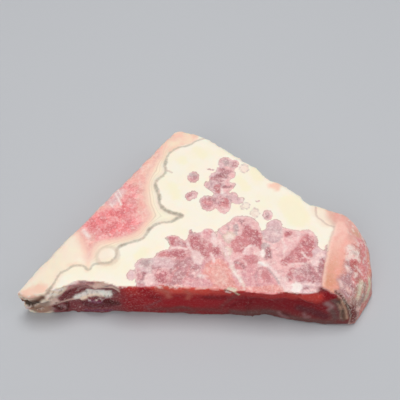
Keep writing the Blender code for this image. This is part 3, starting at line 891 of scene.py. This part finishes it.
def lay_out_pattern(slab):
    mesh = slab.data
    points, normals = places(slab), numbers(mesh.vertices, "normal", 3)
    depth = TOP - points[:, 2]
    wobble = clouds(points, 1.1) + 0.5 * clouds(points, 0.5)

    # The bands wander a little through the thickness, so the foot shows them shifted
    drift = np.stack([clouds(points, 16, 3.0), clouds(points, 16, 9.0)], axis=1)
    flat = points[:, :2] + drift * (depth / TOP * 7.0)[:, None]

    line = curve_through(top_points(GREY_LINE))
    pink_side = np.vstack([line, top_points([(0, 305), (0, 80), (215, 80)])])
    band = np.where(inside(flat, pink_side), 1, -1) * distance(flat, line)
    thick = 0.25 - 1.0 * ease(*top_points([(99, 262), (93, 265)])[:, 0], flat[:, 0])
    thick -= 0.35 * ease(*top_points([(160, 165), (160, 150)])[:, 1], flat[:, 1])
    for pixel, radius in LINE_THICK:
        gap = distance(flat, top_points([pixel]))
        thick = np.maximum(thick, ease(1.3 * radius, 0.2 * radius, gap))
    small = np.min([distance(flat, curve_through(top_points(one))) for one in SMALL_LINES], axis=0)
    ring = np.abs(distance(flat, top_points([RING_CENTRE])) - RING_RADIUS)
    rose = depth_inside(flat, curve_through(top_points(ROSE_PATCH), closed=True))

    pixel_size = (top_points([(201, 200)]) - top_points([(200, 200)]))[0, 0]
    gem = np.full(len(points), -99.0)
    for cluster in (BACK_CLUSTER, LEFT_CLUSTER, RIGHT_CLUSTER):
        outline = curve_through(top_points(cluster), closed=True, steps=4)
        gem = np.maximum(gem, depth_inside(flat, outline))
    lone = circles(flat, LONE_CRYSTALS, pixel_size)
    faint = circles(flat, FAINT_CRYSTALS, pixel_size)
    rounds = np.abs(circles(flat, ROUNDS, pixel_size))
    gem = np.maximum(gem, lone)
    for dash in DASHES:
        gem = np.maximum(gem, 0.32 - distance(flat, top_points(dash)))

    matrix = plain(points, "cream")
    blend(matrix, "peach cream", 0.75 * ease(0.2, 3.0, band))
    paint(matrix, flat, MATRIX_STROKES, top_points, wobble, 0.9)
    rosy = plain(points, "pale coral", 4)
    paint(rosy, flat, ROSE_STROKES, top_points, wobble, 0.9)
    paint(rosy, flat, GLINTS, top_points, 0.3 * wobble, 0.2)
    tone = plain(points, "light pink", 4)
    blend(tone, "mauve pink", ease(*top_points([(222, 250), (212, 250)])[:, 0], flat[:, 0]))
    paint(tone, flat, TOP_STROKES, top_points, wobble, 0.3)
    jag = np.stack([clouds(points, 0.9, 21.0), clouds(points, 0.9, 33.0)], axis=1)
    paint_crystals(tone, flat, jag)
    paint(tone, flat, VEINS, top_points, wobble, 0.2)
    paint(tone, flat, RIM_STROKES, top_points, wobble, 0.2)
    tone += (rosy - tone) * ease(-0.5, 1.0, rose)[:, None]

    wall, share, grainy, sugar_and_glints = walls(points, normals, wobble)
    grainy = np.maximum(grainy, (1 - share) * tone[:, 3])
    sugar_and_glints = np.maximum(sugar_and_glints, (1 - share) * (0.25 + 0.6 * tone[:, 3]))
    slope = np.abs(normals[:, 2])
    # Paler where the surface slopes over an edge, but not at the front right
    pale_edges = ease(0.25, 0.6, slope) * ease(0.97, 0.8, slope)
    pale_edges *= 1 - ease(28, 31, points[:, 0]) * ease(-26, -28, points[:, 1])
    layer = band.clip(0, None) / (band.clip(0, None) + (-rose).clip(0, None) + 1e-6)
    layered = ease(*top_points([(90, 250), (99, 250)])[:, 0], flat[:, 0])
    layered *= ease(*top_points([(170, 140), (160, 156)])[:, 1], flat[:, 1])
    in_ring = RING_RADIUS - distance(flat, top_points([RING_CENTRE]))
    layered *= ease(0.3, -0.5, in_ring)

    for name, values in (
        ("matrix_tone", matrix), ("gem_tone", tone[:, :3]), ("wall_tone", wall), ("wall", share),
        ("gem_edge", gem), ("faint_edge", faint), ("rounds", rounds), ("rose_edge", rose),
        ("band", band), ("band_thick", thick), ("small_line", small), ("ring", ring),
        ("layer", layer), ("layered", layered), ("grainy", grainy), ("sugar_and_glints", sugar_and_glints),
        ("pale_edges", pale_edges),
    ):
        attach(mesh, name, values)


def circles(points, listed, pixel_size):
    """Distance to the nearest circle's edge, positive inside. Each looks round to the camera."""
    found = np.full(len(points), -99.0)
    seen_from_camera = np.array([1.0, math.sin(ELEVATION)])
    for centre, radius in listed:
        apart = (points - top_points([centre])) * seen_from_camera
        found = np.maximum(found, radius * pixel_size - np.linalg.norm(apart, axis=1))
    return found


def front_base(points, depth):
    """Deep red, with a painted glow under the rim where light comes through, and greyer at the
    foot.
    """
    wander = depth + 0.9 * clouds(points, 3.0) + 0.35 * clouds(points, 1.0, 5.0)
    strengths = []
    for listed in (FRONT_GLOW, FRONT_GREY, FRONT_DARK):
        at = wall_points([(pixel, 298) for pixel, _ in listed])[:, 0]
        strengths.append(np.interp(points[:, 0], at, [strength for _, strength in listed]))
    glow, grey, dark = strengths
    colour = plain(points, "crimson")
    blend(colour, "deep crimson", dark * ease(1.0, 4.0, wander))
    # Painted glow of light through the stone, under the rim
    blend(colour, "orange red", glow * ease(4.4, 1.6, wander))
    blend(colour, "dusky", grey * ease(7.0, 11.5, wander))
    blend(colour, "slate", 0.7 * grey * dark * ease(10.0, 13.0, wander))
    return colour


def left_of_crack(points):
    crack = wall_points(CRACK)
    x, z = crack[crack[:, 2].argsort()][:, [0, 2]].T
    return ease(0.25, -0.25, points[:, 0] - np.interp(points[:, 2], z, x))


def end_colour(points, end, width, crust, wobble):
    """The peach band and the crust of the rind. end is how far a point is past its edge."""
    colour = plain(points, "band peach")
    blend(colour, "band front", ease(-9, -27, points[:, 1] + 0.6 * wobble))
    # Painted highlight along the ridge where the band leaves the top
    near_top = ease(1.5, 0.0, end + 0.3 * wobble) * ease(-28.2, -27.4, points[:, 1])
    blend(colour, "band edge", 0.75 * near_top)
    cloudy = 0.5 * ease(0.0, 0.5, clouds(points, 1.8, 41.0))
    blend(colour, "band pink", cloudy * (1 - near_top))
    blend(colour, "band pink", 0.7 * ease(0.45, 0.95, end / width) * (1 - crust))
    blend(colour, "rind", crust)
    paint_on_walls(colour, points, END_STROKES, wobble, softness=0.85)
    return colour


def walls(points, normals, wobble):
    """The colours of the front, the tip and the rind end, where they show, and their texture."""
    x, y, z = points.T
    facing = -normals[:, 1]
    front = ease(0.3, 0.6, facing + 0.1 * wobble) * ease(-22, -24, y)
    slanting = y + 0.4 * (x - 32) + 0.25 * wobble
    lip = ease(30, 32, x) * ease(36.9, 36.1, x) * ease(-27.7, -28.5, slanting)
    share = np.maximum(front, lip) * left_of_crack(points)
    tip = ease(-40.5, -42.5, x + 0.4 * wobble)
    corner = ease(-19.3, -24.3, x + 0.9 * wobble)

    colour = front_base(points, TOP - z)
    paint_on_walls(colour, points, FRONT_STROKES, 0.5 * wobble, softness=0.9)
    paint_on_walls(colour, points, RIM_STROKES, 0.5 * wobble, softness=0.2)
    blend(colour, "maroon", corner)
    tip_tone = plain(points, "tip cream")
    paint_on_walls(tip_tone, points, TIP_STROKES, 0.4 * wobble, softness=0.5)
    paint_on_walls(colour, points, CORNER_STROKES, 0.7 * wobble, corner, 0.45)
    colour += (tip_tone - colour) * tip[:, None]

    end = beyond_peach_edge(points)
    at_back = ease(-9, -4, y)
    rind = ease(-0.5, 0.5, (end + 0.25 * wobble + 1.5 * at_back) / (1 + 4 * at_back)) * (1 - share)
    width = PEACH_WIDTH + (PEACH_WIDTH_BACK - PEACH_WIDTH) * ease(-15, -6, y)
    crust = ease(-0.7, 0.7, end - width + 0.9 * wobble)
    colour += (end_colour(points, end, width, crust, wobble) - colour) * rind[:, None]
    share = np.maximum(share, rind)
    from_crack = distance(points, wall_points(CRACK))
    near_crack = ease(3.5, 2.5, from_crack) * ease(0.2, 0.5, facing)
    paint_on_walls(colour, points, CRACK_STROKES, wobble, near_crack)
    crack = ease(0.6, 0.3, from_crack)
    blend(colour, "groove", 0.8 * crack)

    speckled = share * ease(-9, -14, x) * (1 - rind)
    evenly = share * (1 - rind)
    grainy = (0.14 * evenly + 0.25 * speckled) * (1 - tip) + rind * (0.25 + 0.7 * crust)
    sugar_and_glints = 0.03 * evenly + 0.05 * speckled
    # Fewer flecks low on the rind, which stands in shade there
    sugar_and_glints += rind * (0.2 + 0.45 * crust) * ease(12, 9, TOP - z)
    sugar_and_glints *= 1 - crack
    # Painted glints on the ledge and the face at its left, with darker specks among them
    gaps = [distance(points, wall_points(line)) for line in SPARKLING]
    sparkle = share * corner * (1 - tip) * ease(1.6, 0.6, np.min(gaps, axis=0))
    colour *= 1 - (0.4 * sparkle * ease(0.05, 0.4, clouds(points, 0.7, 7.0)))[:, None]
    return colour, share, grainy, sugar_and_glints + 0.6 * sparkle


def paint_on_walls(colours, points, strokes, wobble, share=None, softness=0.4):
    """As paint, but strokes lie where their pixels meet the solid. share says where they show."""
    share = np.ones(len(points)) if share is None else share
    painted = colours.copy()
    paint(painted, points, strokes, wall_points, wobble, softness)
    colours += (painted - colours) * share[:, None]


# Materials


class Graph:
    """Short names for making one material's nodes. Any input may be a number or a socket."""

    def __init__(self, name):
        self.material = bpy.data.materials.new(name)
        self.material.use_nodes = True
        self.tree = self.material.node_tree
        self.shader = self.tree.nodes["Principled BSDF"]
        place = self.node("ShaderNodeTexCoord").outputs["Object"]
        scale = self.node("ShaderNodeVectorMath", {0: place, "Scale": 1 / MM}, operation="SCALE")
        self.mm = scale.outputs[0]

    def node(self, kind, inputs=None, **settings):
        made = self.tree.nodes.new(kind)
        for name, value in settings.items():
            setattr(made, name, value)
        for key, value in (inputs or {}).items():
            self.put(made.inputs[key], value)
        return made

    def put(self, socket, value):
        if isinstance(value, bpy.types.NodeSocket):
            self.tree.links.new(value, socket)
        else:
            socket.default_value = value

    def stored(self, name, output="Fac"):
        return self.node("ShaderNodeAttribute", attribute_name=name).outputs[output]

    def math(self, operation, a, b=0.0):
        return self.node("ShaderNodeMath", {0: a, 1: b}, operation=operation).outputs[0]

    def step(self, value, start, end, low=0.0, high=1.0):
        """low before start, high after end, eased between."""
        inputs = {"Value": value, "From Min": start, "From Max": end, "To Min": low, "To Max": high}
        made = self.node("ShaderNodeMapRange", inputs, interpolation_type="SMOOTHSTEP")
        return made.outputs["Result"]

    def mix(self, share, a, b, blend="MIX"):
        made = self.node("ShaderNodeMix", data_type="RGBA", blend_type=blend)
        for key, value in ((0, share), (6, a), (7, b)):
            self.put(made.inputs[key], value)
        return made.outputs[2]

    def tone(self, name):
        return (*linear(name), 1.0)

    def clouds(self, size, detail=2.0, roughness=0.5):
        inputs = {"Vector": self.mm, "Scale": 1 / size, "Detail": detail, "Roughness": roughness}
        return self.node("ShaderNodeTexNoise", inputs).outputs["Fac"]

    def cells(self, size, feature, output, randomness=1.0):
        inputs = {"Vector": self.mm, "Scale": 1 / size, "Randomness": randomness}
        return self.node("ShaderNodeTexVoronoi", inputs, feature=feature).outputs[output]


def around_zero(graph, value, reach):
    """The noise value moved to run from about -reach to reach."""
    return graph.math("MULTIPLY", graph.math("SUBTRACT", value, 0.5), 2 * reach)


def stone_material():
    g = Graph("rhodochrosite")
    fine = g.clouds(0.7, 3.0, 0.6)
    pale = pale_stone(g, fine)
    gem = grained(g, g.stored("gem_tone", "Color"))
    rose = g.math("ADD", g.stored("rose_edge"), around_zero(g, fine, 0.7))
    halo = g.mix(g.step(rose, -2.6, 0.2, 0.0, 0.85), pale, g.tone("halo"))
    colour = g.mix(g.step(rose, -0.5, 1.4), halo, veined_rose(g, gem))
    colour = clusters(g, fine, colour, gem)
    colour = g.mix(g.stored("wall"), colour, grained(g, g.stored("wall_tone", "Color")))
    paled = g.math("MULTIPLY", g.stored("pale_edges"), g.step(g.clouds(1.6, 3.0), 0.5, 0.66, 0.0, 0.55))
    colour = g.mix(paled, colour, g.tone("white"))
    g.put(g.shader.inputs["Base Color"], colour)

    g.put(g.shader.inputs["Roughness"], g.step(fine, 0.3, 0.7, 0.42, 0.62))
    g.put(g.shader.inputs["Specular IOR Level"], g.step(g.stored("wall"), 0.0, 1.0, 0.5, 0.15))
    g.shader.inputs["Subsurface Weight"].default_value = 0.4
    g.shader.inputs["Subsurface Radius"].default_value = (1.0, 0.25, 0.2)
    g.shader.inputs["Subsurface Scale"].default_value = 2.2 * MM
    grain = g.math("ADD", g.clouds(0.22, 3.0, 0.6), g.math("MULTIPLY", g.clouds(0.9, 2.0), 0.6))
    bump = g.node("ShaderNodeBump", {"Height": grain, "Strength": 0.25, "Distance": 0.12 * MM})
    g.put(g.shader.inputs["Normal"], bump.outputs["Normal"])
    return g.material


def veined_rose(g, gem):
    """The rose patch's own deeper and paler blotches."""
    return mottled(g, gem, 1.6, (0.95, 0.76, 0.79, 1), 0.45)


def mottled(g, tone, size, dark, strength):
    """The tone with darker and paler blotches of that size."""
    blotch = g.clouds(size, 4.0, 0.68)
    deep = g.mix(g.step(blotch, 0.5, 0.36, 0.0, strength), tone, g.mix(1.0, tone, dark, "MULTIPLY"))
    return g.mix(g.step(blotch, 0.5, 0.66, 0.0, strength), deep, g.mix(0.6, tone, g.tone("white")))


def pale_stone(g, fine):
    """The cream with its thin layers on the pink side, the grey line, the ring and small lines."""
    broad = g.clouds(5.0, 2.0)
    matrix = g.stored("matrix_tone", "Color")
    pale = g.mix(g.step(broad, 0.4, 0.7, 0.0, 0.5), matrix, g.tone("pale yellow"))
    gem_edge = g.stored("gem_edge")
    wavy = g.math("ADD", gem_edge, around_zero(g, g.clouds(3.0), 1.2))
    contour = g.step(g.math("SINE", g.math("MULTIPLY", wavy, 3.4)), 0.75, 1.0, 0.0, 0.28)
    near = g.math("MULTIPLY", g.step(gem_edge, -6.0, -1.5), contour)
    pale = g.mix(near, pale, g.tone("pale yellow"))
    jagged = g.math("ADD", around_zero(g, fine, 0.3), around_zero(g, g.clouds(1.6, 2.0), 0.3))
    band = g.math("ADD", g.stored("band"), jagged)
    layer = g.math("ADD", g.stored("layer"), around_zero(g, g.clouds(2.0), 0.05))
    layered = g.math("MULTIPLY", g.step(band, 0.0, 0.4), g.stored("layered"))
    for place, half_width, strength, tone in (
        (0.55, 0.4, 0.6, "pale yellow"), (0.93, 0.1, 0.6, "peach cream"),
        (0.64, 0.06, 0.5, "beige"), (0.42, 0.04, 0.3, "beige"), (0.84, 0.04, 0.25, "beige"),
    ):
        gap = g.math("ABSOLUTE", g.math("SUBTRACT", layer, place))
        share = g.step(gap, half_width, 0.35 * half_width, 0.0, strength)
        pale = g.mix(g.math("MULTIPLY", share, layered), pale, g.tone(tone))
    thick = g.stored("band_thick")
    width = g.math("ADD", g.math("MULTIPLY", thick, 0.45), 0.62)
    share = g.step(g.math("DIVIDE", g.math("ABSOLUTE", band), width), 1.0, 0.1)
    share = g.math("MULTIPLY", share, g.math("ADD", g.math("MULTIPLY", thick, 0.4), 0.58))
    share = g.math("MULTIPLY", share, g.step(g.clouds(0.6, 2.0), 0.3, 0.6, 0.7, 1.0))
    beside = g.math("MULTIPLY", g.step(band, 2.2, 0.2, 0.0, 0.3), g.step(band, -0.2, 0.3))
    pale = g.mix(g.math("MULTIPLY", beside, g.stored("layered")), pale, g.tone("beige"))
    pale = g.mix(share, pale, g.tone("grey"))
    ring = g.math("ADD", g.stored("ring"), around_zero(g, fine, 0.4))
    pale = g.mix(g.step(ring, 0.95, 0.1, 0.0, 0.5), pale, g.tone("beige"))
    small = g.math("ADD", g.stored("small_line"), around_zero(g, fine, 0.2))
    return g.mix(g.step(small, 0.5, 0.1, 0.0, 0.6), pale, g.tone("thin line"))


def grained(g, tone):
    """The tone with its crystal grain: darker and lighter specks, and white flecks that are partly
    white grains and partly painted glints.
    """
    grainy = g.stored("grainy")
    cell = g.node("ShaderNodeSeparateColor", {"Color": g.cells(1.9, "F1", "Color")}).outputs["Red"]
    shade = g.mix(cell, (0.84, 0.76, 0.77, 1), (1.08, 1.08, 1.08, 1))
    faceted = g.math("MULTIPLY", grainy, g.step(g.stored("wall"), 0.0, 1.0, 1.0, 0.2))
    tone = g.mix(faceted, tone, g.mix(1.0, tone, shade, "MULTIPLY"))
    grain = g.clouds(0.55, 3.0, 0.7)
    dark = g.math("MULTIPLY", g.step(grain, 0.5, 0.32), grainy)
    tone = g.mix(dark, tone, g.mix(1.0, tone, (0.84, 0.62, 0.65, 1), "MULTIPLY"))
    light = g.math("MULTIPLY", g.step(grain, 0.5, 0.7, 0.0, 0.85), grainy)
    tone = g.mix(light, tone, g.mix(0.5, tone, g.tone("white")))
    # White flecks: partly white grains, partly painted glints
    flecks = g.step(g.clouds(0.75, 4.0, 0.8), 0.57, 0.65, 0.0, 0.85)
    return g.mix(g.math("MULTIPLY", flecks, g.stored("sugar_and_glints")), tone, g.tone("white"))


def clusters(g, fine, colour, gem):
    """The rose clusters over the cream, with a dull outline, a pale rim and rounded crystals."""
    gem = mottled(g, gem, 1.0, (0.88, 0.76, 0.79, 1), 0.6)
    edge = g.math("ADD", g.stored("gem_edge"), around_zero(g, fine, 0.55))
    faint = g.math("ADD", g.stored("faint_edge"), around_zero(g, fine, 0.5))
    colour = g.mix(g.step(faint, -0.2, 0.3, 0.0, 0.5), colour, gem)
    faint_rim = g.step(g.math("ABSOLUTE", faint), 0.35, 0.1, 0.0, 0.6)
    faint_rim = g.math("MULTIPLY", faint_rim, g.step(g.clouds(0.9, 2.0), 0.42, 0.58, 0.15, 1.0))
    colour = g.mix(faint_rim, colour, g.tone("grey lilac"))
    arcs = g.step(g.clouds(2.4, 2.0), 0.47, 0.6)
    round_rim = g.math("ADD", g.stored("rounds"), around_zero(g, fine, 0.5))
    round_rim = g.step(round_rim, 0.4, 0.08, 0.0, 0.5)
    gem = g.mix(g.math("MULTIPLY", round_rim, arcs), gem, g.tone("pale pink"))
    shadow = g.math("ADD", g.stored("rounds"), around_zero(g, g.clouds(0.9), 0.6))
    shadow = g.math("MULTIPLY", g.step(shadow, 0.3, 0.05, 0.0, 0.5), g.math("SUBTRACT", 1.0, arcs))
    gem = g.mix(shadow, gem, g.mix(1.0, gem, (0.62, 0.5, 0.53, 1), "MULTIPLY"))
    rim = g.mix(0.4, gem, g.tone("pale pink"))
    body = g.mix(g.step(edge, 0.25, 0.8), rim, gem)
    outline = g.step(edge, 0.34, 0.1, 0.0, 0.7)
    outline = g.math("MULTIPLY", outline, g.step(g.clouds(2.2, 2.0), 0.38, 0.58, 0.1, 1.0))
    body = g.mix(outline, body, g.mix(0.5, g.tone("wine"), g.tone("grey")))
    return g.mix(g.step(edge, -0.12, 0.12), colour, body)


def floor_material():
    material = bpy.data.materials.new("pale_floor")
    material.use_nodes = True
    shader = material.node_tree.nodes["Principled BSDF"]
    shader.inputs["Base Color"].default_value = FLOOR_COLOUR
    shader.inputs["Roughness"].default_value = 0.9
    return material


# The map that the colours are baked to: a flat view of each side, laid out without overlap

SHEET_WIDTH, SHEET_HEIGHT, MAP_GAP = 152.0, 103.0, 1.0
# Outward direction, then where the map of that side starts on the sheet, in millimetres
SIDES = {
    "top": ((0, 0, 1), (0, 0)),
    "foot": ((0, 0, -1), (48, 0)),
    "front": ((0, -1, 0), (0, 68)),
    "end": ((1, 0, 0), (104, 68)),
    "sawn": ((-0.81, 0.59, 0), (0, 85)),
    "broken": ((0.66, 0.75, 0), (76, 85)),
}


def map_sides(slab):
    mesh = slab.data
    points = places(slab)
    corners = np.zeros(len(mesh.loops), np.int32)
    mesh.loops.foreach_get("vertex_index", corners)
    starts = np.zeros(len(mesh.polygons), np.int32)
    mesh.polygons.foreach_get("loop_start", starts)
    counts = np.zeros(len(mesh.polygons), np.int32)
    mesh.polygons.foreach_get("loop_total", counts)
    normals = numbers(mesh.polygons, "normal", 3)
    outward = np.array([side[0] for side in SIDES.values()], float)
    lean = normals @ outward.T
    lean[:, 2:] += 0.15
    nearest = np.repeat(lean.argmax(axis=1), counts)
    spots = np.zeros((len(corners), 2))
    for index, (direction, start) in enumerate(SIDES.values()):
        chosen = np.flatnonzero(nearest == index)
        here = points[corners[chosen]]
        x, y, _ = direction
        if index < 2:
            spot = here[:, :2] * (1 if index == 0 else -1)
        else:
            spot = np.stack([here @ np.array([-y, x, 0.0]), here[:, 2]], axis=1)
        spots[chosen] = spot - spot.min(axis=0) + np.array(start) + MAP_GAP
    uv = mesh.uv_layers.new(name="OFBake")
    spots /= np.array([SHEET_WIDTH, SHEET_HEIGHT])
    uv.uv.foreach_set("vector", spots.astype(np.float32).ravel())


# The set


def add_floor():
    reach = FLOOR_REACH
    mesh = bpy.data.meshes.new("floor")
    corners = [(x * reach, y * reach, 0.0) for x, y in ((-1, -1), (1, -1), (1, 1), (-1, 1))]
    mesh.from_pydata(corners, [], [(0, 1, 2, 3)])
    floor = bpy.data.objects.new("floor", mesh)
    bpy.context.scene.collection.objects.link(floor)
    mesh.materials.append(floor_material())


def add_light(name, azimuth, elevation, away, size, watts):
    """A square lamp that faces the slab."""
    a, e = math.radians(azimuth), math.radians(elevation)
    towards = Vector((math.sin(a) * math.cos(e), math.cos(a) * math.cos(e), math.sin(e)))
    lamp = bpy.data.lights.new(name, "AREA")
    lamp.shape, lamp.size, lamp.energy = "SQUARE", size, watts
    obj = bpy.data.objects.new(name, lamp)
    obj.location = towards * away
    obj.rotation_euler = towards.to_track_quat("Z", "Y").to_euler()
    bpy.context.scene.collection.objects.link(obj)


def add_camera():
    place, back = camera_place()
    camera = bpy.data.cameras.new("camera")
    camera.sensor_width, camera.lens = SENSOR, FOCAL_LENGTH / PHOTO_SIDE * SENSOR
    camera.clip_start, camera.clip_end = 0.01, 20.0
    obj = bpy.data.objects.new("camera", camera)
    obj.location = place
    obj.rotation_euler = back.to_track_quat("Z", "Y").to_euler()
    bpy.context.scene.collection.objects.link(obj)
    bpy.context.scene.camera = obj


def light_the_set():
    for name, values in LAMPS.items():
        add_light(name, *values)
    world = bpy.data.worlds.new("studio")
    world.use_nodes = True
    sky = world.node_tree.nodes["Background"]
    sky.inputs["Color"].default_value = SKY_COLOUR
    sky.inputs["Strength"].default_value = SKY_STRENGTH
    bpy.context.scene.world = world
    bpy.context.scene.view_settings.view_transform = "Standard"


add_camera()
light_the_set()
add_floor()

slab = fine_slab()
lay_out_pattern(slab)
map_sides(slab)
slab.data.materials.clear()
slab.data.materials.append(stone_material())
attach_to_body(slab, BODY)
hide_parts(NODE)
